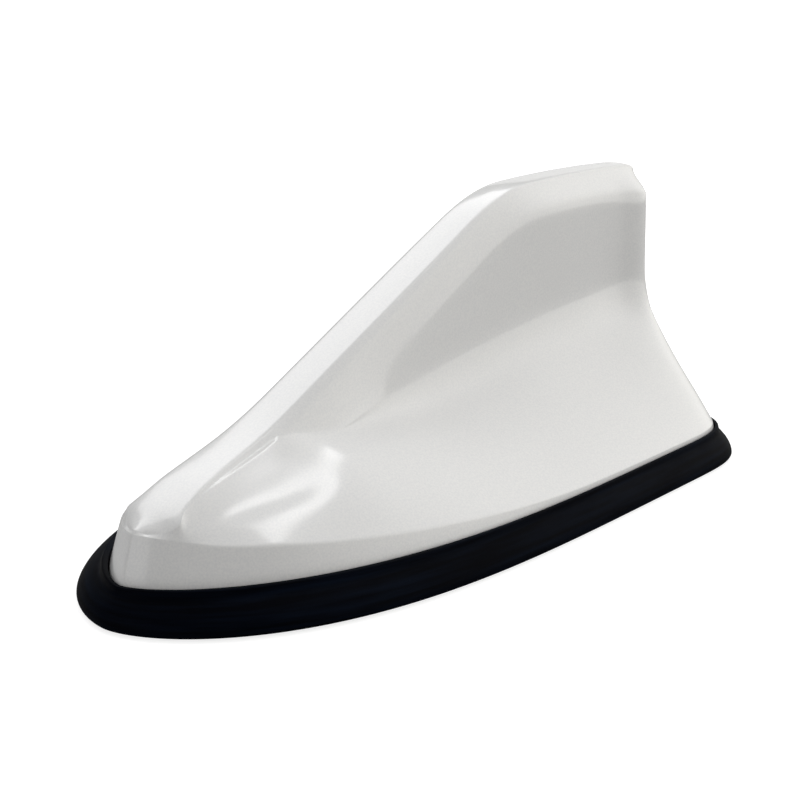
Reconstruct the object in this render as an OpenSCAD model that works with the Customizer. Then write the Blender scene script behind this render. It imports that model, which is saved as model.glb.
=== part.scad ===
// Shark fin aerial that is glued to a car's roof, with its amplifier and radiator inside.
// The nose points to -X, Z is up and the roof is the plane Z = 0.

/* [Overall] */
// Length of the rubber skirt, nose to tail
skirt_length = 162; // [154:1:174]
// Width of the rubber skirt
skirt_width = 76; // [72:1:84]
// Height of the crown above the roof
fin_height = 62; // [58:0.2:66]
// Distance from the nose to the widest section
widest_from_nose = 120; // [112:1:124]

/* [Shell] */
// Wall of the shell
shell_wall = 2.2; // [1.8:0.1:2.6]
// Height of the shell's lower edge above the roof
foot_z = 4.6; // [4.4:0.1:5]
// Height of the spine above the roof, 44 mm behind the nose
spine_z = 31.1; // [30:0.1:33]
// Rise of the spine for each millimetre along it
spine_slope = 0.487; // [0.46:0.001:0.52]
// Distance from the nose to the front end of the spine
spine_from_nose = 7.8; // [7:0.1:8]
// Distance from the tail to the trailing edge of the fin
fin_from_tail = 3.6; // [3.2:0.2:8]
// Slope of the upright band, sideways for each millimetre up
band_draft = 0.36; // [0.24:0.02:0.4]

/* [Skirt] */
// Height of the skirt's lip above the roof
lip_z = 7.3; // [7:0.1:8]
// Reach of the skirt's apron beyond the shell at the sides
apron_side = 3.6; // [3:0.1:4.4]
// Reach of the skirt's apron beyond the shell at the nose
apron_nose = 4.4; // [4:0.1:5]
// Reach of the skirt's apron beyond the shell at the tail
apron_tail = 3.5; // [3.2:0.1:5]
// Gap between the lip and the shell
lip_gap = 0.2; // [0.1:0.05:0.3]
// Width of the skirt's flange under the base plate
flange_width = 3; // [2:0.1:3.4]
// Thickness of the skirt's flange
flange_thick = 1.5; // [1.2:0.1:1.8]

/* [Base] */
// Thickness of the base plate
base_thick = 2.5; // [2.2:0.1:3]
// Gap between the base plate's upstanding rim and the shell
rim_gap = 0.3; // [0.2:0.05:0.5]
// Width of the upstanding rim
rim_width = 0.9; // [0.8:0.1:1.1]
// Height of the upstanding rim
rim_height = 3; // [2:0.5:5]
// Width of the foam pads' edge gap, measured from the shell
pad_inset = 9.8; // [9.6:0.2:14]
// Distance from the nose to the slot between the two foam pads
pad_split_from_nose = 80; // [70:1:90]
// Width of that slot
pad_split_width = 6; // [2:0.5:10]

/* [Screws] */
// Radius of the cover screws' shank
screw_r = 1.2; // [1:0.05:1.4]
// Radius of the cover screws' head
screw_head_r = 2.5; // [2.2:0.1:2.6]
// Length of the cover screws
screw_length = 7.6; // [7:0.1:8]
// Radius of the shell's screw bosses
boss_r = 3; // [2.8:0.1:3.1]
// Distance from the shell's outside to the screws
screw_inset = 6.9; // [6.8:0.1:8]
// Radius of the board screws' shank
board_screw_r = 0.9; // [0.8:0.05:1]
// Length of the board screws' shank
board_screw_length = 4.5; // [3.5:0.5:5]

/* [Lead] */
// Distance from the nose to the lead gland
gland_from_nose = 30; // [28:1:33]
// Radius of the gland's bore
gland_bore_r = 1.6; // [1.4:0.1:2]
// Radius of the gland's neck in the base plate
gland_neck_r = 3.9; // [3.4:0.1:4.2]

/* [Board] */
// Distance from the nose to the board's front edge
board_from_nose = 44; // [42:1:48]
// Length of the board
board_length = 100; // [96:1:102]
// Width of the board
board_width = 30; // [30:1:33]
// Thickness of the board
board_thick = 1.6; // [1:0.2:2]
// Height of the board's posts
post_height = 4; // [3:0.5:5]
// Length of the shield can
can_length = 22; // [18:1:23]
// Width of the shield can
can_width = 19; // [14:1:20]
// Height of the shield can
can_height = 6; // [5:0.5:8]

/* [Radiator] */
// Distance from the nose to the loading coil
coil_from_nose = 84; // [83:1:85]
// Radius of the coil former's barrel
former_r = 4.6; // [4:0.1:4.8]
// Height of the coil former
former_height = 14.4; // [13.5:0.1:15]
// Radius of the coil's wire
wire_r = 0.35; // [0.25:0.05:0.4]
// Number of turns of the coil
coil_turns = 9; // [6:1:11]
// Thickness of the radiator plate
plate_thick = 0.8; // [0.5:0.1:1]
// Length of the radiator plate
plate_length = 62; // [58:1:63]
// Drop from the spine to the radiator plate's top edge
plate_drop = 5.5; // [5:0.5:9]

/* [Hidden] */
$fn = 48;
eps = 0.01;

nose_x = -skirt_length / 2;
tail_x = skirt_length / 2;
widest_x = nose_x + widest_from_nose;

// Powers of the plan's outline: how blunt its nose and its tail are
nose_power = 3.8;
nose_round = 1.73;
shell_power = 3.15;
shell_round = 1.5;
tail_power = 6.6;
tail_round = 2.1;

// Rings of the lofted skin, in degrees round the plan: 0 is the nose and 180 the tail
front_steps = 38;
rear_steps = 18;
turns = concat([for (i = [0:front_steps]) 90 * i / front_steps],
    [for (i = [1:rear_steps]) 90 + 90 * i / rear_steps]);
last = len(turns) - 1;

// Heights
base_z = flange_thick;
base_top = base_z + base_thick;
board_z = base_top + post_height;
board_top = board_z + board_thick;
coil_top = board_top + former_height;
plate_z = coil_top + 3;

// Half width of the spine strip, by distance from the nose
strip_half = [[7, 8.6], [11, 8.2], [12.4, 6.7], [14, 5.7], [20, 4.8], [27, 4.3], [36, 4.1], [45, 4],
    [88, 3.9], [112, 3.4], [154, 3]];
// Fall of the spine's front end below its run, by distance from the nose
nose_fall = [[7, 5.6], [10, 4.1], [13, 2.7], [16, 1.7], [20, 0.7], [26, 0.1], [34, 0], [154, 0]];
// Fall of the strip's edge below its middle, by distance from the nose
strip_fall = [[7, 0.3], [9.5, 1.3], [11, 1.5], [12.4, 1], [14, 0.6], [18, 0.3], [30, 0.25], [154, 0.25]];
// Height of the upright band's top edge, by distance from the nose
band_top = [[4.8, 15.5], [7.5, 15], [10.5, 14.4], [14.5, 13.7], [22, 13], [31, 12.1], [45, 10.9], [56, 10.1],
    [75, 8.9], [95, 8.2], [162, 7.9]];

// Lines of the side, from the spine strip's edge to the top of the upright band.
// Each entry is: distance from the nose, share of the way out, share of the way down.
bevel_line = [[7, 0.04, 0.04], [20, 0.05, 0.06], [32, 0.06, 0.075], [44, 0.075, 0.085], [52, 0.065, 0.07],
    [64, 0.048, 0.045], [88, 0.032, 0.024], [108, 0.014, 0.01], [154, 0.012, 0.01]];
ridge_line = [[7, 0.08, 0.085], [20, 0.09, 0.1], [32, 0.095, 0.106], [39, 0.095, 0.112],
    [42, 0.125, 0.185], [45, 0.155, 0.265], [51, 0.18, 0.345], [64, 0.114, 0.31], [88, 0.09, 0.2],
    [108, 0.112, 0.11], [118, 0.132, 0.092], [145, 0.158, 0.096], [154, 0.27, 0.1]];
wall_line = [[7, 0.14, 0.15], [20, 0.15, 0.165], [32, 0.155, 0.17], [39, 0.155, 0.175],
    [42, 0.17, 0.225], [45, 0.19, 0.295], [52, 0.205, 0.38], [64, 0.145, 0.411], [76, 0.106, 0.42],
    [90, 0.1, 0.46], [108, 0.118, 0.48], [130, 0.135, 0.465], [145, 0.155, 0.455], [154, 0.29, 0.45]];
root_line = [[7, 0.24, 0.26], [20, 0.25, 0.275], [32, 0.27, 0.29], [39, 0.27, 0.295],
    [42, 0.27, 0.315], [45, 0.265, 0.35], [56, 0.218, 0.45], [66, 0.19, 0.52], [78, 0.168, 0.58],
    [100, 0.175, 0.615], [130, 0.2, 0.59], [145, 0.23, 0.58], [154, 0.36, 0.575]];
high_line = [[7, 0.44, 0.47], [20, 0.46, 0.5], [32, 0.475, 0.5], [44, 0.468, 0.49],
    [56, 0.436, 0.572], [76, 0.393, 0.68], [100, 0.38, 0.72], [130, 0.39, 0.7],
    [154, 0.52, 0.69]];
middle_line = [[7, 0.64, 0.66], [20, 0.66, 0.68], [32, 0.675, 0.67], [44, 0.673, 0.66],
    [56, 0.655, 0.72], [76, 0.624, 0.79], [100, 0.61, 0.825], [130, 0.615, 0.81],
    [154, 0.7, 0.805]];
low_line = [[7, 0.83, 0.84], [20, 0.84, 0.85], [32, 0.85, 0.84], [44, 0.853, 0.834],
    [56, 0.843, 0.865], [76, 0.827, 0.902], [100, 0.818, 0.92], [130, 0.82, 0.91],
    [154, 0.863, 0.905]];
side_lines = [low_line, middle_line, high_line, root_line, wall_line, ridge_line, bevel_line];

// Section of the skirt: share of the apron inwards, further millimetres inwards, height
skirt_section = [[0.35, 0, 0], [0.12, 0, 0.3], [0.02, 0, 0.8], [0, 0, 1.3], [0.04, 0, 2.1], [0.15, 0, 3.2],
    [0.31, 0, 4.2], [0.48, 0, 5], [0.6, 0, 5.5], [0.68, 0, 5.7], [0.76, 0, lip_z - 0.3],
    [0.82, 0, lip_z], [1, -lip_gap, lip_z], [1, -lip_gap, flange_thick],
    [1, flange_width, flange_thick], [1, flange_width, 0]];

// Cubic curve through the table's points, for the value in the given column
function tangent(t, i, c) = let (a = max(i - 1, 0), b = min(i + 1, len(t) - 1))
    (t[b][c] - t[a][c]) / (t[b][0] - t[a][0]);
function span(t, s, i = 0) = (i >= len(t) - 2 || s < t[i + 1][0]) ? i : span(t, s, i + 1);
function glide(t, s, c = 1) = let (i = span(t, s), h = t[i + 1][0] - t[i][0],
    u = max(0, min(1, (s - t[i][0]) / h)), v = 1 - u)
    t[i][c] * v * v * (1 + 2 * u) + t[i + 1][c] * u * u * (1 + 2 * v)
    + h * u * v * (v * tangent(t, i, c) - u * tangent(t, i + 1, c));

function soft_min(a, b, r) = min(a, b) - pow(max(r - abs(a - b), 0), 2) / (4 * r);

// Plan outlines at a turn: the given shares of the apron inwards from the skirt's, and d more
function ring_x(turn, share, d) = widest_x
    - cos(turn) * (turn <= 90 ? widest_x - nose_x - share * apron_nose - d
    : tail_x - widest_x - share * apron_tail - d);
function bow(u, power, roundness) = pow(max(0, 1 - pow(u, power)), 1 / roundness);
function ring_y(turn, dy, power, roundness) = turn == 0 || turn == 180 ? 0
    : (skirt_width / 2 - dy) * (turn <= 90 ? bow(cos(turn), power, roundness)
    : bow(-cos(turn), tail_power, tail_round));

// Outline of the shell, drawn in by d from its outside at the lip
function shell_x(turn, d) = ring_x(turn, 1, d);
function shell_y(turn, d) = ring_y(turn, apron_side + d, shell_power, shell_round);

// Outline of the skirt, drawn in by a share of its apron and by d more
function skirt_y(turn, share, d) = (1 - share) * ring_y(turn, d, nose_power, nose_round)
    + share * shell_y(turn, d);

// Height of the spine, by distance from the nose: a straight run, lifted ahead of the place
// where its height is set, that blends into the crown
run_from_nose = 44;
run_lift = 0.006;
crown_from_nose = 128;
crown_spread = 31;
crown_blend = 4;
function spine(s) = let (
    ahead = min(s - run_from_nose, 0),
    run = spine_z + spine_slope * (s - run_from_nose) + run_lift * ahead * ahead,
    crown = fin_height - pow((s - crown_from_nose) / crown_spread, 2))
    soft_min(run, crown, crown_blend) - glide(nose_fall, s);

// Points of one section of the skin, from its foot up to the spine strip's edge.
// A skin of 0 is the shell's outside, and the wall's thickness gives its inside.
lip_tuck = 0.4; // height below the lip at which the band begins to lean in
band_least = 0.5; // least height of the band above the lip
strip_share = 0.94; // widest that the strip is, as a share of the band's width
strip_blend = 0.8;
strip_least = 0.9; // least half width of the strip on the inside
tail_drop = 1.2; // fall of the spine's rear end
tail_drop_length = 3.5;
spine_skin = 1.2; // wall under the sloping spine, measured straight down, to the wall's thickness
band_skin = 0.5; // the same under the band's top edge
function section(turn, skin, z0) = let (
    x1 = shell_x(turn, skin),
    zb = max(glide(band_top, x1 - nose_x), lip_z + band_least),
    d = skin + band_draft * (zb - lip_z),
    xb = shell_x(turn, d),
    yb = shell_y(turn, d),
    share = (xb - shell_x(0, d)) / (shell_x(180, d) - shell_x(0, d)),
    xs = nose_x + spine_from_nose + skin,
    xt = tail_x - fin_from_tail - skin,
    xa = xs + (xt - xs) * share,
    s = xa - nose_x,
    half = max(glide(strip_half, s) - skin, strip_least),
    ya = max(0, soft_min(strip_share * yb, half, strip_blend * min(1, yb / 2) + eps)),
    end = max(0, min(1, (xa - xt + tail_drop_length) / tail_drop_length)),
    zc = spine(s) - tail_drop * pow(end, 3) - spine_skin * skin,
    za = zc - glide(strip_fall, s) * min(1, ya / 2),
    zs = zb - band_skin * skin)
    concat([[x1, shell_y(turn, skin), z0], [x1, shell_y(turn, skin), lip_z - lip_tuck],
    [xb, yb, zs]],
    [for (line = side_lines) let (out = glide(line, s, 1), down = glide(line, s, 2))
    [xa + (xb - xa) * down, ya + (yb - ya) * out, za + (zs - za) * down]],
    [[xa, ya, za], [xa, 0, zc]]);

// Rings of points round the plan, one for each point of a section
m = 2 * last;
function ring(sections, k) = concat([for (i = [0:last]) let (p = sections[i][k]) [p[0], -p[1], p[2]]],
    [for (i = [last - 1:-1:1]) sections[i][k]]);
function rings(sections, count) = [for (k = [0:count - 1]) each ring(sections, k)];
function tube(count, from, flip) = [for (k = [0:count - 2], j = [0:m - 1]) let (
    a = from + k * m + j, b = from + k * m + (j + 1) % m)
    each flip ? [[a, b, b + m], [a, b + m, a + m]] : [[b, a, a + m], [b, a + m, b + m]]];
function bottom() = [for (i = [0:last - 1]) let (b = i + 1, c = m - i - 1, d = (m - i) % m)
    each [if (b != c) [i, b, c], if (i > 0) [i, c, d]]];

// The strip on top, from the last ring to the points along its middle
function middle(i, from) = i == 0 ? from : i == last ? from + last : from + m + i - 1;
function strip(from, flip) = [for (i = [0:last - 1]) let (
    a = from + i, b = from + i + 1, c = from + m - i - 1, d = from + (m - i) % m,
    p = middle(i, from), q = middle(i + 1, from))
    each flip ? [if (q != b) [a, b, q], if (p != a) [a, q, p], if (q != b) [p, q, c], if (p != a) [p, c, d]]
    : [if (q != b) [b, a, q], if (p != a) [q, a, p], if (q != b) [q, p, c], if (p != a) [c, p, d]]];
function skin_points(sections, count) = concat(rings(sections, count),
    [for (i = [1:last - 1]) sections[i][count]]);
rows = len(side_lines) + 4;

// Solid inside the skin
module skin_solid(skin, z0) {
    sections = [for (turn = turns) section(turn, skin, z0)];
    polyhedron(skin_points(sections, rows), concat(tube(rows, 0, false), bottom(),
        strip((rows - 1) * m, false)));
}

// Walls between the outside and the inside
module skin_shell() {
    outside = [for (turn = turns) section(turn, 0, foot_z)];
    inside = [for (turn = turns) section(turn, shell_wall, foot_z)];
    first = rows * m + last - 1;
    rim = [for (j = [0:m - 1]) let (k = (j + 1) % m)
        each [[j, k, first + k], [j, first + k, first + j]]];
    polyhedron(concat(skin_points(outside, rows), skin_points(inside, rows)), concat(
        tube(rows, 0, false), strip((rows - 1) * m, false),
        tube(rows, first, true), strip(first + (rows - 1) * m, true), rim));
}

// Flat outline parallel to the shell's, drawn in by d
module plan(d) {
    near = [for (turn = turns) [shell_x(turn, d), -shell_y(turn, d)]];
    far = [for (i = [last - 1:-1:1]) [shell_x(turns[i], d), shell_y(turns[i], d)]];
    polygon(concat(near, far));
}

// Places of the cover screws: one at the nose, two pairs behind it
screw_turns = [0, 52, -52, 140, -140];
module at_screws() {
    for (turn = screw_turns)
        translate([shell_x(abs(turn), screw_inset), sign(turn) * shell_y(abs(turn), screw_inset), 0])
            children();
}

thread_gap = 0.05;
hole_gap = 0.2;
tip_gap = 0.4;
boss_hole_r = screw_r + thread_gap;
boss_hole_depth = screw_length - base_thick + tip_gap;
module fin_shell() {
    color("white") difference() {
        union() {
            skin_shell();
            intersection() {
                skin_solid(shell_wall / 2, base_top);
                at_screws() translate([0, 0, base_top]) cylinder(r = boss_r, h = fin_height);
            }
        }
        at_screws() translate([0, 0, base_top - eps])
            cylinder(r = boss_hole_r, h = boss_hole_depth);
    }
}

module rubber_skirt() {
    sections = [for (turn = turns) [for (p = skirt_section)
        [ring_x(turn, p[0], p[1]), skirt_y(turn, p[0], p[1]), p[2]]]];
    count = len(skirt_section);
    closing = [for (j = [0:m - 1]) let (k = (j + 1) % m, e = (count - 1) * m)
        each [[e + k, e + j, j], [e + k, j, k]]];
    color("#15171c") polyhedron(rings(sections, count), concat(tube(count, 0, false), closing));
}

seal_inset = 0.3;
seal_width = 1.6;
module foot_seal() {
    color("dimgray") translate([0, 0, base_top]) linear_extrude(foot_z - base_top) difference() {
        plan(seal_inset);
        plan(seal_inset + seal_width);
    }
}

gland_x = nose_x + gland_from_nose;
board_x = nose_x + board_from_nose;
board_mid = board_x + board_length / 2;
hole_x = board_length / 2 - 4;
hole_y = board_width / 2 - 3;
post_r = 2.4;
head_drop = 1.3;
head_gap = 0.1;
neck_gap = 0.1;
post_floor = 0.3;
module at_posts() {
    for (sx = [-1, 1], sy = [-1, 1])
        translate([board_mid + sx * hole_x, sy * hole_y, 0]) children();
}

module base_plate() {
    color("#202226") difference() {
        union() {
            translate([0, 0, base_z]) linear_extrude(base_thick) plan(0);
            translate([0, 0, base_top - eps]) linear_extrude(rim_height + eps) difference() {
                plan(shell_wall + rim_gap);
                plan(shell_wall + rim_gap + rim_width);
            }
            at_posts() translate([0, 0, base_top - eps]) cylinder(r = post_r, h = post_height + eps);
        }
        at_screws() {
            translate([0, 0, base_z - eps]) cylinder(r = screw_r + hole_gap, h = base_thick + 2 * eps);
            translate([0, 0, base_z - eps])
                cylinder(r1 = screw_head_r + head_gap, r2 = screw_r + hole_gap, h = head_drop);
        }
        at_posts() translate([0, 0, board_z - board_screw_length + board_thick - post_floor])
            cylinder(r = board_screw_r + thread_gap, h = board_screw_length);
        translate([gland_x, 0, base_z - eps]) cylinder(r = gland_neck_r + neck_gap, h = base_thick + 2 * eps);
    }
}

// Half profile of a self-tapping screw, its tip up
thread_pitch = 0.9;
thread_core = 0.78; // radius between the threads, as a share of the shank's
function thread(r, from, to) = [for (z = [from:thread_pitch:to - thread_pitch])
    each [[r * thread_core, z], [r, z + thread_pitch / 2]]];
module cover_screws() {
    color("silver") at_screws() translate([0, 0, base_z]) difference() {
        rotate_extrude() polygon(concat([[0, 0], [screw_head_r, 0], [screw_head_r, 0.15],
            [screw_r, head_drop], [screw_r, base_thick]],
            thread(screw_r, base_thick, screw_length - 1),
            [[screw_r * thread_core, screw_length - 1], [0, screw_length]]));
        for (a = [0, 90])
            rotate(a) translate([-1.4, -0.3, -eps]) cube([2.8, 0.6, 0.9]);
    }
}

gland_flange_r = gland_neck_r + 1.6;
gland_floor = 0.5;
gland_top = base_top + 4;
module pad(x0, x1) {
    color("#3a3c40") linear_extrude(base_z) difference() {
        intersection() {
            plan(pad_inset);
            translate([x0, -skirt_width / 2]) square([x1 - x0, skirt_width]);
        }
        translate([gland_x, 0]) circle(gland_flange_r + 2);
    }
}

split_x = nose_x + pad_split_from_nose;
module front_pad() {
    pad(nose_x, split_x);
}

module rear_pad() {
    pad(split_x + pad_split_width, tail_x);
}

module lead_gland() {
    color("#24262a") translate([gland_x, 0, 0]) rotate_extrude() polygon([
        [gland_bore_r, gland_floor], [gland_flange_r, gland_floor], [gland_flange_r, base_z],
        [gland_neck_r, base_z], [gland_neck_r, base_top], [gland_flange_r, base_top],
        [gland_flange_r - 0.6, base_top + 1.2], [gland_bore_r + 1.4, gland_top],
        [gland_bore_r, gland_top]]);
}

module coupling_foil() {
    color("#c9b37a") translate([board_mid - hole_x + post_r + 1, 1.5 - hole_y + post_r, base_top])
        cube([2 * (hole_x - post_r - 1), 2 * (hole_y - post_r - 1.5), 0.2]);
}

pin_gap = 3.4;
coil_x = nose_x + coil_from_nose;
pin_r = 0.4;
module circuit_board() {
    color("darkgreen") difference() {
        translate([board_x, -board_width / 2, board_z]) cube([board_length, board_width, board_thick]);
        at_posts() translate([0, 0, board_z - eps])
            cylinder(r = board_screw_r + hole_gap, h = board_thick + 2 * eps);
        for (sx = [-1, 1])
            translate([coil_x + sx * pin_gap, 0, board_z - eps])
                cylinder(r = pin_r + 0.1, h = board_thick + 2 * eps);
    }
}

module board_screws() {
    color("silver") at_posts() translate([0, 0, board_top]) difference() {
        rotate_extrude() polygon([[0, -board_screw_length], [board_screw_r, 0.6 - board_screw_length],
            [board_screw_r, 0], [1.8, 0], [1.8, 0.5], [1.4, 1.1], [0, 1.3]]);
        for (a = [0, 90])
            rotate(a) translate([-1, -0.2, 0.6]) cube([2, 0.4, 2]);
    }
}

socket_size = 6;
barrel_length = 6;
module lead_socket() {
    color("goldenrod") translate([board_x, 0, board_top]) difference() {
        union() {
            translate([0, -socket_size / 2, 0]) cube([socket_size, socket_size, socket_size]);
            translate([-barrel_length, 0, socket_size / 2]) rotate([0, 90, 0])
                cylinder(r = 2.4, h = barrel_length + eps);
        }
        translate([-barrel_length - eps, 0, socket_size / 2]) rotate([0, 90, 0]) difference() {
            cylinder(r = 1.8, h = barrel_length);
            translate([0, 0, 1]) cylinder(r = 0.45, h = barrel_length);
        }
    }
}

can_x = board_x + socket_size + 2;
can_wall = 0.3;
module shield_can() {
    color("lightgray") translate([can_x, -can_width / 2, board_top]) difference() {
        cube([can_length, can_width, can_height]);
        translate([can_wall, can_wall, -eps])
            cube([can_length - 2 * can_wall, can_width - 2 * can_wall, can_height - can_wall]);
        for (ix = [1:3], iy = [1:2])
            translate([can_length * ix / 4, can_width * iy / 3, can_height - 1]) cylinder(r = 1, h = 2);
    }
}

chip_length = 5;
chip_width = 4;
module amplifier_chip() {
    color("#303030") translate([can_x + can_length / 2, 0, board_top]) {
        translate([-chip_length / 2, -chip_width / 2, 0.2]) cube([chip_length, chip_width, 1.4]);
        for (i = [0:3], sy = [-1, 1])
            translate([(i - 1.5) * 1.27 - 0.2, sy * (chip_width / 2 + 0.4) - 0.4, 0])
                cube([0.4, 0.8, 0.7]);
    }
}

parts_x = can_x + can_length + 5;
parts_y = board_width / 2 - 4.5;
module tank_capacitor() {
    color("silver") translate([parts_x, -parts_y, board_top]) rotate_extrude()
        polygon([[0, 0], [3.2, 0], [3.2, 1], [2.9, 1.3], [3.2, 1.6], [3.2, 6.7], [2.9, 7], [0, 7]]);
}

core_r = 3;
core_wire_r = 0.25;
core_section = 0.9;
core_z = board_top + core_section + 2 * core_wire_r + 0.1;
module choke_core() {
    color("#4a4a4a") translate([parts_x, parts_y, core_z]) rotate_extrude()
        translate([core_r, 0]) circle(core_section);
}

module choke_winding() {
    color("peru") translate([parts_x, parts_y, core_z])
        for (a = [0:36:324])
            rotate(a) translate([core_r, 0, 0]) rotate([90, 0, 0]) rotate_extrude($fn = 24)
                translate([core_section + core_wire_r + 0.1, 0]) circle(core_wire_r, $fn = 16);
}

// Small surface-mount parts in two rows beside the radiator's holder
chip_pitch = 5;
chip_start = coil_x + 12;
module chip_row(y, height) {
    for (i = [0:5])
        translate([chip_start + i * chip_pitch, y - 0.6, board_top]) cube([2, 1.2, height]);
}

module chip_resistors() {
    color("#222222") chip_row(8, 0.5);
}

module chip_capacitors() {
    color("burlywood") chip_row(-8, 0.9);
}

former_flange = 1.2;
module coil_former() {
    color("ivory") translate([coil_x, 0, board_top]) rotate_extrude() polygon([[1.2, 0],
        [former_r + 1.4, 0], [former_r + 1.4, former_flange], [former_r, former_flange],
        [former_r, former_height - former_flange], [former_r + 1.4, former_height - former_flange],
        [former_r + 1.4, former_height], [1.2, former_height]]);
}

// Wire wound as a helix, its sides swept round the turns
coil_steps = 20;
wire_sides = 6;
coil_rise = former_height - 2 * former_flange - 2 * wire_r - 0.6;
module loading_coil() {
    r = former_r + wire_r + 0.05;
    count = coil_turns * coil_steps;
    points = [for (i = [0:count], j = [0:wire_sides - 1]) let (
        a = 360 * i / coil_steps, b = 360 * j / wire_sides, q = r + wire_r * cos(b))
        [q * cos(a), q * sin(a), coil_rise * i / count + wire_r * sin(b)]];
    ends = [[for (j = [0:wire_sides - 1]) j],
        [for (j = [wire_sides - 1:-1:0]) count * wire_sides + j]];
    sides = [for (i = [0:count - 1], j = [0:wire_sides - 1]) let (
        a = i * wire_sides + j, b = i * wire_sides + (j + 1) % wire_sides)
        each [[a, a + wire_sides, b + wire_sides], [a, b + wire_sides, b]]];
    color("peru") translate([coil_x, 0, board_top + former_flange + wire_r + 0.3])
        polyhedron(points, concat(ends, sides));
}

module terminal_pins() {
    color("goldenrod") for (sx = [-1, 1])
        translate([coil_x + sx * pin_gap, 0, board_z - 0.8]) cylinder(r = pin_r, h = board_thick + 0.8);
}

plate_x = coil_x + 1;
post_places = [13, 54];
holder_post = [6, 4.4];
rail_width = 6;
rail_height = 2;
rail_end = 1;
grip_height = 4;
slot_gap = 0.1;
module radiator_holder() {
    rail_x = coil_x + post_places[0] - holder_post[0] / 2 - rail_end;
    rail_length = post_places[1] - post_places[0] + holder_post[0] + 2 * rail_end;
    color("#d8d4c8") difference() {
        union() {
            translate([rail_x, -rail_width / 2, board_top]) cube([rail_length, rail_width, rail_height]);
            for (place = post_places)
                translate([coil_x + place - holder_post[0] / 2, -holder_post[1] / 2, board_top])
                    cube([holder_post[0], holder_post[1], plate_z - board_top + grip_height]);
        }
        translate([rail_x, -(plate_thick + slot_gap) / 2, plate_z])
            cube([rail_length, plate_thick + slot_gap, grip_height + 1]);
    }
}

plate_holes = [20, 46];
plate_hole_r = 1.6;
plate_hole_rise = 12;
module radiator_plate() {
    steps = 10;
    top_edge = [for (i = [steps:-1:0]) let (x = plate_x + plate_length * i / steps)
        [x, spine(x - nose_x) - plate_drop]];
    color("#d6c27a") translate([0, plate_thick / 2, 0]) rotate([90, 0, 0]) linear_extrude(plate_thick)
        difference() {
            polygon(concat([[plate_x, plate_z], [plate_x + plate_length, plate_z]], top_edge));
            for (place = plate_holes)
                translate([plate_x + place, plate_z + plate_hole_rise]) circle(plate_hole_r);
        }
}

lug_thick = 0.4;
lug_width = 3;
lug_foot = 8;
lug_back = 2;
module radiator_lug() {
    color("goldenrod") {
        translate([coil_x - lug_back, -lug_width / 2, coil_top]) cube([lug_foot, lug_width, lug_thick]);
        translate([coil_x + lug_back, plate_thick / 2, coil_top])
            cube([lug_width, lug_thick, plate_z - coil_top + grip_height]);
    }
}

fin_shell();
rubber_skirt();
foot_seal();
base_plate();
cover_screws();
front_pad();
rear_pad();
lead_gland();
coupling_foil();
circuit_board();
board_screws();
lead_socket();
shield_can();
amplifier_chip();
tank_capacitor();
choke_core();
choke_winding();
chip_resistors();
chip_capacitors();
coil_former();
loading_coil();
terminal_pins();
radiator_holder();
radiator_plate();
radiator_lug();
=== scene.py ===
import math
import bpy
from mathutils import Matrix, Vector


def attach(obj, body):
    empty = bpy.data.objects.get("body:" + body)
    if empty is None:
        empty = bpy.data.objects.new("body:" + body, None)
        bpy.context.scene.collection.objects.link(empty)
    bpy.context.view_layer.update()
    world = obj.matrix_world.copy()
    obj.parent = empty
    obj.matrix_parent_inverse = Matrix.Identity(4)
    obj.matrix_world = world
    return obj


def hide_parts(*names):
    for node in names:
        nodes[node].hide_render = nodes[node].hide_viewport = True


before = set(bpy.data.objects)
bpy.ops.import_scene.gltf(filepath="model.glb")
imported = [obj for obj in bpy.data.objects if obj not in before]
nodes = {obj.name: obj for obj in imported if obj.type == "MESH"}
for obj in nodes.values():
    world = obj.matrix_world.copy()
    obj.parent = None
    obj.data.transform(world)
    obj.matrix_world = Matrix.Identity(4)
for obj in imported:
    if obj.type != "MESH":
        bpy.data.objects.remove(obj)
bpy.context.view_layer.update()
mm = 0.001


# Camera

camera = {
    "azimuth": -50.8,            # degrees round from the near side, towards the nose
    "elevation": 16.35,
    "distance": 342.0,           # millimetres
    "aim": (-2.3, 0.0, 22.91),
    "lens": 77.67,
}


def placeCamera():
    a, e = math.radians(camera["azimuth"]), math.radians(camera["elevation"])
    back = Vector((math.sin(a) * math.cos(e), -math.cos(a) * math.cos(e), math.sin(e)))
    aim = Vector(camera["aim"]) * mm
    bpy.ops.object.camera_add(location=aim + back * camera["distance"] * mm)
    shot = bpy.context.object
    shot.rotation_euler = back.to_track_quat("Z", "Y").to_euler()
    shot.data.lens = camera["lens"]
    shot.data.clip_start = 0.01
    bpy.context.scene.camera = shot


# Studio

studio = {
    "floorSize": 60.0,
    "floorColour": 0.4,
    "floorGlow": 0.8,            # added for the camera only, so that the floor reads as white
    "sky": [(0.0, (0.14, 0.135, 0.125)), (0.35, (0.35, 0.345, 0.33)), (0.85, (0.66, 0.66, 0.67))],
    "skyStrength": 0.75,
    "sideFrom": (0.78, -0.62, 0.05),     # where the broad light of the room comes from
    "sideGlow": (1.95, 1.92, 1.84),
    "sideEdge": 0.3,             # cosine at which that light has faded away
}

lamps = [   # name, place, turn in degrees, size, power
    ("window", (0.425, -0.208, 1.0), (0, 0, -60), (0.09, 0.62), 1.0),
    ("back", (0.40, 0.90, 1.30), (-35, 0, -24), (1.8, 1.0), 11.3),
    ("nose", (-1.30, 0.30, 0.40), (75, 0, -103), (1.2, 0.6), 2.2),
    ("crown", (1.20, 0.93, 0.24), (82, 0, 128), (0.9, 0.5), 0.9),
]


def buildStudio():
    bpy.ops.mesh.primitive_plane_add(size=studio["floorSize"], location=(0, 0, 0))
    floor = bpy.context.object
    floor.name = "floor"
    floor.data.materials.append(floorPaper())
    lightRoom()
    placeLamps()


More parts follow.
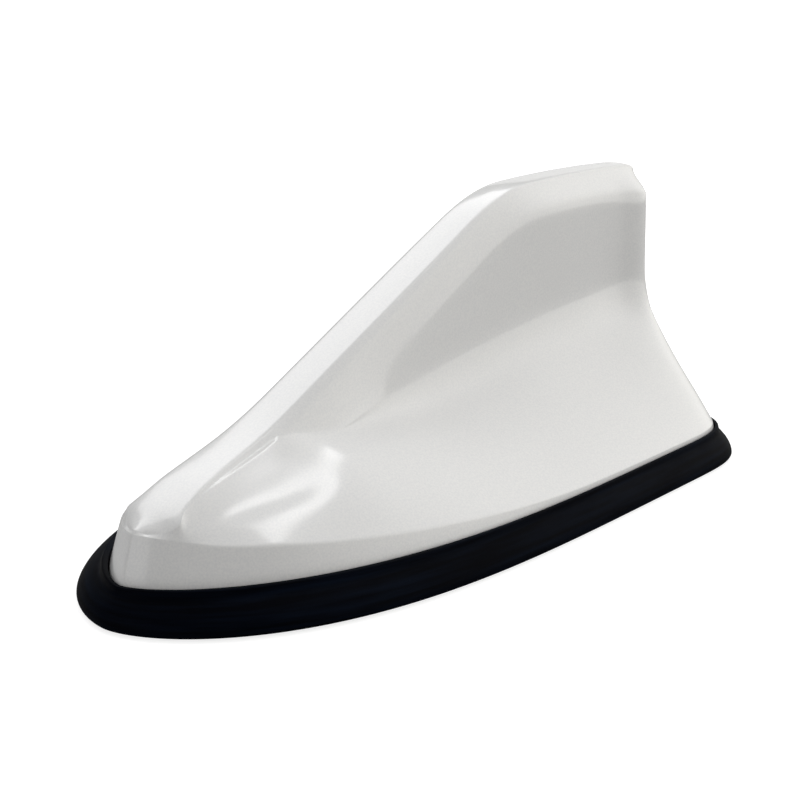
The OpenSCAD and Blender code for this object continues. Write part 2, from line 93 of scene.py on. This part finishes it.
def lightRoom():
    world = bpy.data.worlds.new("softbox room")
    bpy.context.scene.world = world
    world.use_nodes = True
    tree = world.node_tree
    background = tree.nodes["Background"]
    background.inputs["Strength"].default_value = studio["skyStrength"]
    where = tree.nodes.new("ShaderNodeTexCoord")
    split = tree.nodes.new("ShaderNodeSeparateXYZ")
    tree.links.new(where.outputs["Generated"], split.inputs[0])
    fade = tree.nodes.new("ShaderNodeValToRGB")
    stops = fade.color_ramp.elements
    while len(stops) < len(studio["sky"]):
        stops.new(0.5)
    for stop, (place, colour) in zip(stops, studio["sky"]):
        stop.position, stop.color = place, colour + (1,)
    tree.links.new(split.outputs["Z"], fade.inputs[0])
    toSide = tree.nodes.new("ShaderNodeVectorMath")
    toSide.operation = "DOT_PRODUCT"
    toSide.inputs[1].default_value = Vector(studio["sideFrom"]).normalized()
    tree.links.new(where.outputs["Generated"], toSide.inputs[0])
    lobe = tree.nodes.new("ShaderNodeMapRange")
    lobe.interpolation_type = "SMOOTHSTEP"
    lobe.inputs["From Min"].default_value = studio["sideEdge"]
    tree.links.new(toSide.outputs["Value"], lobe.inputs["Value"])
    both = tree.nodes.new("ShaderNodeVectorMath")
    both.operation = "MULTIPLY_ADD"
    both.inputs[1].default_value = studio["sideGlow"]
    tree.links.new(lobe.outputs[0], both.inputs[0])
    tree.links.new(fade.outputs[0], both.inputs[2])
    tree.links.new(both.outputs[0], background.inputs["Color"])
    white = tree.nodes.new("ShaderNodeBackground")
    white.inputs["Color"].default_value = (1, 1, 1, 1)
    pick = tree.nodes.new("ShaderNodeMixShader")
    ray = tree.nodes.new("ShaderNodeLightPath")
    tree.links.new(ray.outputs["Is Camera Ray"], pick.inputs[0])
    tree.links.new(background.outputs[0], pick.inputs[1])
    tree.links.new(white.outputs[0], pick.inputs[2])
    tree.links.new(pick.outputs[0], tree.nodes["World Output"].inputs["Surface"])


def placeLamps():
    for name, place, turn, size, power in lamps:
        bpy.ops.object.light_add(type="AREA", location=place)
        lamp = bpy.context.object
        lamp.name = name
        lamp.data.shape = "RECTANGLE"
        lamp.data.size, lamp.data.size_y = size
        lamp.data.energy = power
        lamp.rotation_euler = [math.radians(a) for a in turn]


# Materials

def newMaterial(name):
    material = bpy.data.materials.new(name)
    material.use_nodes = True
    return material, material.node_tree, material.node_tree.nodes["Principled BSDF"]


def grain(tree, scale, detail=3.0, stretch=(1, 1, 1)):
    where = tree.nodes.new("ShaderNodeTexCoord")
    turn = tree.nodes.new("ShaderNodeMapping")
    turn.inputs["Scale"].default_value = stretch
    noise = tree.nodes.new("ShaderNodeTexNoise")
    noise.inputs["Scale"].default_value = scale
    noise.inputs["Detail"].default_value = detail
    noise.inputs["Roughness"].default_value = 0.55
    tree.links.new(where.outputs["Object"], turn.inputs[0])
    tree.links.new(turn.outputs[0], noise.inputs["Vector"])
    return noise.outputs["Fac"]


def tint(tree, shader, fac, dark, light, low=0.3, high=0.7):
    ramp = tree.nodes.new("ShaderNodeValToRGB")
    a, b = ramp.color_ramp.elements
    a.position, a.color = low, tuple(dark) + (1,)
    b.position, b.color = high, tuple(light) + (1,)
    tree.links.new(fac, ramp.inputs[0])
    tree.links.new(ramp.outputs[0], shader.inputs["Base Color"])


def dent(tree, shader, fac, height, strength=1.0):
    bump = tree.nodes.new("ShaderNodeBump")
    bump.inputs["Distance"].default_value = height * mm
    bump.inputs["Strength"].default_value = strength
    tree.links.new(fac, bump.inputs["Height"])
    tree.links.new(bump.outputs[0], shader.inputs["Normal"])


def roughen(tree, shader, fac, low, high):
    spread = tree.nodes.new("ShaderNodeMapRange")
    spread.inputs["To Min"].default_value = low
    spread.inputs["To Max"].default_value = high
    tree.links.new(fac, spread.inputs["Value"])
    tree.links.new(spread.outputs[0], shader.inputs["Roughness"])


def floorPaper():
    material, tree, shader = newMaterial("floor paper")
    pale = studio["floorColour"]
    tint(tree, shader, grain(tree, 3.0), (pale,) * 3, (pale + 0.01,) * 3)
    shader.inputs["Roughness"].default_value = 0.9
    glow = tree.nodes.new("ShaderNodeEmission")
    glow.inputs["Strength"].default_value = studio["floorGlow"]
    add = tree.nodes.new("ShaderNodeAddShader")
    pick = tree.nodes.new("ShaderNodeMixShader")
    ray = tree.nodes.new("ShaderNodeLightPath")
    out = tree.nodes["Material Output"]
    tree.links.new(shader.outputs[0], add.inputs[0])
    tree.links.new(glow.outputs[0], add.inputs[1])
    tree.links.new(ray.outputs["Is Camera Ray"], pick.inputs[0])
    tree.links.new(shader.outputs[0], pick.inputs[1])
    tree.links.new(add.outputs[0], pick.inputs[2])
    tree.links.new(pick.outputs[0], out.inputs["Surface"])
    return material


paint = {
    "dark": (0.77, 0.775, 0.78),
    "light": (0.83, 0.83, 0.825),
    "flakes": 2600.0,            # size of the pearl grain, in waves per metre
    "roughness": 0.35,
    "coatRoughness": 0.12,
}


def pearlPaint():
    material, tree, shader = newMaterial("pearl white paint")
    tint(tree, shader, grain(tree, paint["flakes"], 2.0), paint["dark"], paint["light"], 0.35, 0.65)
    shader.inputs["Roughness"].default_value = paint["roughness"]
    shader.inputs["Specular IOR Level"].default_value = 0.4
    shader.inputs["Coat Weight"].default_value = 1.0
    shader.inputs["Coat Roughness"].default_value = paint["coatRoughness"]
    dent(tree, shader, grain(tree, 2200.0, 2.0), 0.01, 0.3)
    return material


rubber = {
    "dark": (0.0001, 0.0004, 0.0018),
    # lighter streak colour: partly the rubber's own streaky grain, partly painted sheen, the bluish satin
    # highlight of the flange put into the colour
    "light": (0.0020, 0.0042, 0.0100),
    "streaksAndSheen": (0.04, 0.04, 1),  # draws the grain out into level streaks, which also carry the painted sheen
    "roughness": (0.42, 0.58),
    "gloss": 0.02,
}


def skirtRubber():
    material, tree, shader = newMaterial("skirt rubber")
    streaksAndSheen = grain(tree, 900.0, 4.0, rubber["streaksAndSheen"])
    # the streaked colour is partly the rubber's grain and partly painted sheen
    tint(tree, shader, streaksAndSheen, rubber["dark"], rubber["light"], 0.4, 0.75)
    roughen(tree, shader, grain(tree, 160.0), *rubber["roughness"])
    shader.inputs["Specular IOR Level"].default_value = rubber["gloss"]
    dent(tree, shader, grain(tree, 2400.0, 2.0), 0.02, 0.3)
    return material


# Finishes of the nodes that keep their CAD shape:
# two colours, range of roughness, metal, grain in waves per metre, its depth in millimetres
finishes = {
    "seal rubber": ((0.10, 0.10, 0.10), (0.16, 0.16, 0.155), (0.5, 0.7), 0.0, 700.0, 0.02),
    "moulded plastic": ((0.012, 0.012, 0.013), (0.026, 0.026, 0.028), (0.35, 0.55), 0.0, 1100.0, 0.03),
    "zinc plate": ((0.50, 0.50, 0.49), (0.66, 0.66, 0.65), (0.25, 0.45), 1.0, 500.0, 0.01),
    "foam tape": ((0.035, 0.036, 0.038), (0.085, 0.086, 0.09), (0.8, 0.95), 0.0, 1600.0, 0.15),
    "gland rubber": ((0.008, 0.008, 0.009), (0.02, 0.02, 0.021), (0.45, 0.6), 0.0, 900.0, 0.02),
    "copper foil": ((0.55, 0.38, 0.20), (0.72, 0.55, 0.33), (0.2, 0.4), 1.0, 300.0, 0.02),
    "board lacquer": ((0.008, 0.07, 0.025), (0.02, 0.14, 0.05), (0.2, 0.35), 0.0, 400.0, 0.02),
    "plated brass": ((0.72, 0.50, 0.20), (0.85, 0.64, 0.30), (0.15, 0.3), 1.0, 600.0, 0.01),
    "tinned sheet": ((0.55, 0.56, 0.57), (0.72, 0.73, 0.74), (0.25, 0.5), 1.0, 250.0, 0.02),
    "chip epoxy": ((0.012, 0.012, 0.012), (0.028, 0.028, 0.028), (0.5, 0.7), 0.0, 1800.0, 0.02),
    "capacitor can": ((0.62, 0.63, 0.65), (0.76, 0.77, 0.78), (0.2, 0.35), 1.0, 700.0, 0.01),
    "ferrite": ((0.03, 0.03, 0.032), (0.07, 0.07, 0.072), (0.55, 0.75), 0.0, 1500.0, 0.03),
    "enamelled copper": ((0.42, 0.13, 0.05), (0.62, 0.24, 0.10), (0.2, 0.3), 1.0, 900.0, 0.01),
    "resistor glaze": ((0.01, 0.01, 0.012), (0.03, 0.03, 0.034), (0.3, 0.5), 0.0, 1800.0, 0.01),
    "capacitor ceramic": ((0.40, 0.27, 0.14), (0.55, 0.40, 0.24), (0.45, 0.6), 0.0, 1800.0, 0.01),
    "former plastic": ((0.62, 0.58, 0.48), (0.74, 0.70, 0.60), (0.35, 0.5), 0.0, 800.0, 0.02),
}

worn = {    # finish: the nodes that have it
    "seal rubber": ["foot_seal"],
    "moulded plastic": ["base_plate"],
    "zinc plate": ["cover_screws", "board_screws"],
    "foam tape": ["front_pad", "rear_pad"],
    "gland rubber": ["lead_gland"],
    "copper foil": ["coupling_foil"],
    "board lacquer": ["circuit_board"],
    "plated brass": ["lead_socket", "terminal_pins", "radiator_lug"],
    "tinned sheet": ["shield_can", "radiator_plate"],
    "chip epoxy": ["amplifier_chip"],
    "capacitor can": ["tank_capacitor"],
    "ferrite": ["choke_core"],
    "enamelled copper": ["choke_winding", "loading_coil"],
    "resistor glaze": ["chip_resistors"],
    "capacitor ceramic": ["chip_capacitors"],
    "former plastic": ["coil_former", "radiator_holder"],
}


dressing = {
    "patches": 0.25,             # the roughness varies over larger patches than the colour
    "dents": 1.5,
    "dentStrength": 0.5,
}


def dressNodes():
    for name, (dark, light, rough, metal, size, depth) in finishes.items():
        material, tree, shader = newMaterial(name)
        tint(tree, shader, grain(tree, size), dark, light)
        roughen(tree, shader, grain(tree, size * dressing["patches"]), *rough)
        shader.inputs["Metallic"].default_value = metal
        dent(tree, shader, grain(tree, size * dressing["dents"], 2.0), depth, dressing["dentStrength"])
        for node in worn[name]:
            slots = nodes[node].data.materials
            slots.clear()
            slots.append(material)


# Plan outlines, shared by the shell and its skirt. Millimetres, as in the source

plan = {
    "length": 162.0,
    "width": 76.0,
    "widestFromNose": 120.0,
    "apronNose": 4.4,            # reach of the skirt beyond the shell
    "apronTail": 3.5,
    "apronSide": 3.6,
    "skirtNose": (3.8, 1.73),    # bluntness of each outline's nose
    "shellNose": (3.15, 1.5),
    "tail": (6.6, 2.1),
}
noseX, tailX = -plan["length"] / 2, plan["length"] / 2
widestX = noseX + plan["widestFromNose"]


def glide(table, s, column=1):
    i = 0
    while i < len(table) - 2 and s >= table[i + 1][0]:
        i += 1

    def lean(k):
        a, b = max(k - 1, 0), min(k + 1, len(table) - 1)
        return (table[b][column] - table[a][column]) / (table[b][0] - table[a][0])
    h = table[i + 1][0] - table[i][0]
    u = max(0.0, min(1.0, (s - table[i][0]) / h))
    v = 1 - u
    return (table[i][column] * v * v * (1 + 2 * u) + table[i + 1][column] * u * u * (1 + 2 * v)
            + h * u * v * (v * lean(i) - u * lean(i + 1)))


def softMin(a, b, r):
    return min(a, b) - max(r - abs(a - b), 0) ** 2 / (4 * r)


def ringX(turn, share, inward):
    c = math.cos(math.radians(turn))
    if turn <= 90:
        return widestX - c * (widestX - noseX - share * plan["apronNose"] - inward)
    return widestX - c * (tailX - widestX - share * plan["apronTail"] - inward)


def ringY(turn, inward, blunt):
    if turn in (0, 180):
        return 0.0
    c = math.cos(math.radians(turn))
    power, roundness = blunt if turn <= 90 else plan["tail"]
    return (plan["width"] / 2 - inward) * max(0.0, 1 - abs(c) ** power) ** (1 / roundness)


def shellXY(turn, inward):
    return ringX(turn, 1, inward), ringY(turn, plan["apronSide"] + inward, plan["shellNose"])


def turnsAlong(front, rear):
    return [90 * i / front for i in range(front + 1)] + [90 + 90 * i / rear for i in range(1, rear + 1)]


def gridPiece(name, columns):
    nx, ny = len(columns) - 1, len(columns[0]) - 1
    bpy.ops.object.select_all(action="DESELECT")
    bpy.ops.mesh.primitive_grid_add(x_subdivisions=nx, y_subdivisions=ny, size=1)
    piece = bpy.context.object
    piece.name = name
    row = piece.data.attributes.new("row", "INT", "POINT")
    for v in piece.data.vertices:
        i, j = round((v.co.x + 0.5) * nx), round((v.co.y + 0.5) * ny)
        row.data[v.index].value = j
        v.co = Vector(columns[i][j]) * mm
    return piece


def creaseRows(piece, creases):
    rows = [d.value for d in piece.data.attributes["row"].data]
    edges = piece.data.attributes.new("crease_edge", "FLOAT", "EDGE")
    for e in piece.data.edges:
        a, b = rows[e.vertices[0]], rows[e.vertices[1]]
        if a == b and a in creases:
            edges.data[e.index].value = creases[a]


seamGap = 0.00001                # metres within which the two halves are joined


def mirrorAcross(piece):
    mirror = piece.modifiers.new("other side", "MIRROR")
    mirror.use_axis = (False, True, False)
    mirror.use_clip = True
    mirror.merge_threshold = seamGap
    bpy.ops.object.modifier_apply(modifier=mirror.name)
    bpy.ops.object.mode_set(mode="EDIT")
    bpy.ops.mesh.select_all(action="SELECT")
    bpy.ops.mesh.remove_doubles(threshold=seamGap)
    bpy.ops.mesh.normals_make_consistent(inside=False)
    bpy.ops.object.mode_set(mode="OBJECT")


# Shell

shell = {
    "height": 62.0,
    "wall": 1.8,
    "footZ": 4.6,
    "lipZ": 7.3,
    "draft": 0.36,               # slope of the upright band
    "runFromNose": 44.0,         # a place on the spine's straight run, its height there and its slope
    "spineZ": 31.1,
    "spineSlope": 0.487,
    "runLift": 0.006,            # how the run bends up ahead of that place
    "crownFromNose": 128.0,
    "crownSpread": 31.0,
    "crownBlend": 4.0,
    "stripShare": 0.94,          # most of the plan's width that the strip takes near the nose
    "stripBlend": 0.8,
    "stripLeast": 0.01,
    "lipTuck": 0.4,
    "bandLeast": 0.5,
    "tailDrop": 1.2,             # rounding of the spine's rear end
    "tailDropLength": 3.5,
    "spineFromNose": 7.8,
    "finFromTail": 3.6,
    "frontSteps": 56,
    "rearSteps": 26,
    "bandCrease": 0.35,
    "ridgeCrease": 0.35,
    "bevelCrease": 0.5,
    "edgeCrease": 0.6,
    "rimCrease": 0.8,
    # distance from the nose, then a length or a height
    "stripHalf": [(7, 8.6), (11, 8.2), (12.4, 6.7), (14, 5.7), (20, 4.8), (27, 4.3), (36, 4.1), (45, 4),
                  (88, 3.9), (112, 3.4), (154, 3)],
    "noseFall": [(7, 5.6), (10, 4.1), (13, 2.7), (16, 1.7), (20, 0.7), (26, 0.1), (34, 0), (154, 0)],
    "stripFall": [(7, 0.3), (9.5, 1.3), (11, 1.5), (12.4, 1), (14, 0.6), (18, 0.3), (30, 0.25), (154, 0.25)],
    "bandTop": [(4.8, 15.5), (7.5, 15), (10.5, 14.4), (14.5, 13.7), (22, 13), (31, 12.1), (45, 10.9),
                (56, 10.1), (75, 8.9), (95, 8.2), (162, 7.9)],
    # distance from the nose, share of the way out, share of the way down, from the band up to the spine
    "sideLines": [
        [(7, 0.83, 0.84), (20, 0.84, 0.85), (32, 0.85, 0.84), (44, 0.853, 0.834), (56, 0.843, 0.865),
         (76, 0.827, 0.902), (100, 0.818, 0.92), (130, 0.82, 0.91), (154, 0.863, 0.905)],
        [(7, 0.64, 0.66), (20, 0.66, 0.68), (32, 0.675, 0.67), (44, 0.673, 0.66), (56, 0.655, 0.72),
         (76, 0.624, 0.79), (100, 0.61, 0.825), (130, 0.615, 0.81), (154, 0.7, 0.805)],
        [(7, 0.44, 0.47), (20, 0.46, 0.5), (32, 0.475, 0.5), (44, 0.468, 0.49), (56, 0.436, 0.572),
         (76, 0.393, 0.68), (100, 0.38, 0.72), (130, 0.39, 0.7), (154, 0.52, 0.69)],
        [(7, 0.24, 0.26), (20, 0.25, 0.275), (32, 0.27, 0.29), (39, 0.27, 0.295), (42, 0.27, 0.315),
         (45, 0.265, 0.35), (56, 0.218, 0.45), (66, 0.19, 0.52), (78, 0.168, 0.58), (100, 0.175, 0.615),
         (130, 0.2, 0.59), (145, 0.23, 0.58), (154, 0.36, 0.575)],
        [(7, 0.14, 0.15), (20, 0.15, 0.165), (32, 0.155, 0.17), (39, 0.155, 0.175), (42, 0.17, 0.225),
         (45, 0.19, 0.295), (52, 0.205, 0.38), (64, 0.145, 0.411), (76, 0.106, 0.42), (90, 0.1, 0.46),
         (108, 0.118, 0.48), (130, 0.135, 0.465), (145, 0.155, 0.455), (154, 0.29, 0.45)],
        [(7, 0.08, 0.085), (20, 0.09, 0.1), (32, 0.095, 0.106), (39, 0.095, 0.112), (42, 0.125, 0.185),
         (45, 0.155, 0.265), (51, 0.18, 0.345), (64, 0.114, 0.31), (88, 0.09, 0.2), (108, 0.112, 0.11),
         (118, 0.132, 0.092), (145, 0.158, 0.096), (154, 0.27, 0.1)],
        [(7, 0.04, 0.04), (20, 0.05, 0.06), (32, 0.06, 0.075), (44, 0.075, 0.085), (52, 0.065, 0.07),
         (64, 0.048, 0.045), (88, 0.032, 0.024), (108, 0.014, 0.01), (154, 0.012, 0.01)],
    ],
}


def spineHeight(s):
    past = s - shell["runFromNose"]
    ahead = min(past, 0)
    crown = shell["height"] - ((s - shell["crownFromNose"]) / shell["crownSpread"]) ** 2
    run = shell["spineZ"] + shell["spineSlope"] * past + shell["runLift"] * ahead * ahead
    return softMin(run, crown, shell["crownBlend"]) - glide(shell["noseFall"], s)


def smoothThrough(points, steps):      # curve through the points, cut into equal steps
    made = [points[0]]
    for i in range(len(points) - 1):
        a, b = points[max(i - 1, 0)], points[min(i + 2, len(points) - 1)]
        p, q = points[i], points[i + 1]
        for k in range(1, steps + 1):
            t = k / steps
            made.append(tuple(
                0.5 * (2 * p[n] + (q[n] - a[n]) * t + (2 * a[n] - 5 * p[n] + 4 * q[n] - b[n]) * t * t
                       + (3 * p[n] - a[n] - 3 * q[n] + b[n]) * t ** 3) for n in range(3)))
    return made


def between(p, q, share):
    return tuple(p[n] + (q[n] - p[n]) * share for n in range(3))


def shellSection(turn):
    lipX, lipY = shellXY(turn, 0)
    bandZ = max(glide(shell["bandTop"], lipX - noseX), shell["lipZ"] + shell["bandLeast"])
    inward = shell["draft"] * (bandZ - shell["lipZ"])
    bandX, bandY = shellXY(turn, inward)
    bandNose, bandTail = shellXY(0, inward)[0], shellXY(180, inward)[0]
    share = (bandX - bandNose) / (bandTail - bandNose)
    frontX, backX = noseX + shell["spineFromNose"], tailX - shell["finFromTail"]
    edgeX = frontX + (backX - frontX) * share
    s = edgeX - noseX
    blend = shell["stripBlend"] * min(1, bandY / 2) + shell["stripLeast"]
    edgeY = max(0.0, softMin(shell["stripShare"] * bandY, glide(shell["stripHalf"], s), blend))
    end = max(0.0, min(1.0, (edgeX - backX + shell["tailDropLength"]) / shell["tailDropLength"]))
    middleZ = spineHeight(s) - shell["tailDrop"] * end ** 3
    edgeZ = middleZ - glide(shell["stripFall"], s) * min(1, edgeY / 2)
    foot, lip = (lipX, lipY, shell["footZ"]), (lipX, lipY, shell["lipZ"] - shell["lipTuck"])
    band, edge, middle = (bandX, bandY, bandZ), (edgeX, edgeY, edgeZ), (edgeX, 0.0, middleZ)
    side = [(edgeX + (bandX - edgeX) * glide(line, s, 2), edgeY + (bandY - edgeY) * glide(line, s, 1),
             edgeZ + (bandZ - edgeZ) * glide(line, s, 2)) for line in shell["sideLines"]]
    low, centre, high, root, wall, ridge, bevel = side
    curve = smoothThrough([band, low, centre, high, root, wall], 3)
    curve += [between(wall, ridge, k / 3) for k in (1, 2, 3)]
    curve += [between(ridge, bevel, k / 3) for k in (1, 2, 3)]
    shoulder = between(edge, middle, 0.3)
    shoulder = shoulder[:2] + (edgeZ + (middleZ - edgeZ) * 0.55,)
    return ([foot, between(foot, lip, 0.5), lip, between(lip, band, 0.55), between(lip, band, 0.9)] + curve
            + [between(curve[-1], edge, 0.5), edge, shoulder, between(shoulder, middle, 0.55), middle])


def buildShell():
    columns = [shellSection(turn) for turn in turnsAlong(shell["frontSteps"], shell["rearSteps"])]
    piece = gridPiece("shell", columns)
    last = len(columns[0]) - 1       # row of the spine's middle; 5 is the band's top
    creaseRows(piece, {0: 1.0, 5: shell["bandCrease"], last - 8: shell["ridgeCrease"],
                       last - 5: shell["bevelCrease"], last - 3: shell["edgeCrease"]})
    mirrorAcross(piece)
    wall = piece.modifiers.new("wall", "SOLIDIFY")
    wall.thickness = shell["wall"] * mm
    wall.offset = -1
    wall.edge_crease_rim = shell["rimCrease"]
    bpy.ops.object.modifier_apply(modifier=wall.name)
    smooth = piece.modifiers.new("smooth", "SUBSURF")
    smooth.levels = smooth.render_levels = 1
    bpy.ops.object.modifier_apply(modifier=smooth.name)
    bpy.ops.object.shade_smooth()
    piece.data.materials.append(pearlPaint())
    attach(piece, "root")
    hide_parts("fin_shell")
    print("shell ready,", len(piece.data.polygons), "faces")


# Skirt

skirt = {
    "frontSteps": 56,
    "rearSteps": 30,
    # share of the apron inwards, further millimetres inwards, height
    "profile": [(0.6, 0, 0), (0.35, 0, 0), (0.12, 0, 0.3), (0.02, 0, 0.8), (0, 0, 1.3), (0.04, 0, 2.1),
                (0.15, 0, 3.2), (0.31, 0, 4.2), (0.48, 0, 5), (0.6, 0, 5.5), (0.68, 0, 5.8), (0.73, 0, 6.3),
                (0.76, 0, 6.9), (0.78, 0, 7.2), (0.82, 0, 7.3), (0.94, 0, 7.3), (1, -0.2, 7.2),
                (1, -0.2, 4.5), (1, -0.2, 1.5), (1, 0.4, 1.5), (1, 2.9, 1.5), (1, 3, 1.3), (1, 3, 0.1),
                (1, 2.8, 0), (0.7, 0, 0)],
    "creases": {14: 0.4, 16: 0.4, 18: 0.6, 20: 0.5},    # by place in that profile
}


def skirtSection(turn):
    made = []
    for share, inward, z in skirt["profile"]:
        outer = ringY(turn, inward, plan["skirtNose"])
        inner = shellXY(turn, inward)[1]
        made.append((ringX(turn, share, inward), (1 - share) * outer + share * inner, z))
    return made + [made[0]]


def buildSkirt():
    columns = [skirtSection(turn) for turn in turnsAlong(skirt["frontSteps"], skirt["rearSteps"])]
    piece = gridPiece("skirt", columns)
    creaseRows(piece, skirt["creases"])
    mirrorAcross(piece)
    smooth = piece.modifiers.new("smooth", "SUBSURF")
    smooth.levels = smooth.render_levels = 2
    bpy.ops.object.modifier_apply(modifier=smooth.name)
    bpy.ops.object.shade_smooth()
    piece.data.materials.append(skirtRubber())
    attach(piece, "root")
    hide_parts("rubber_skirt")
    print("skirt ready,", len(piece.data.polygons), "faces")


placeCamera()
buildStudio()
print("studio ready")
dressNodes()
print("nodes dressed")
buildShell()
buildSkirt()

bpy.context.scene.view_settings.view_transform = "Standard"
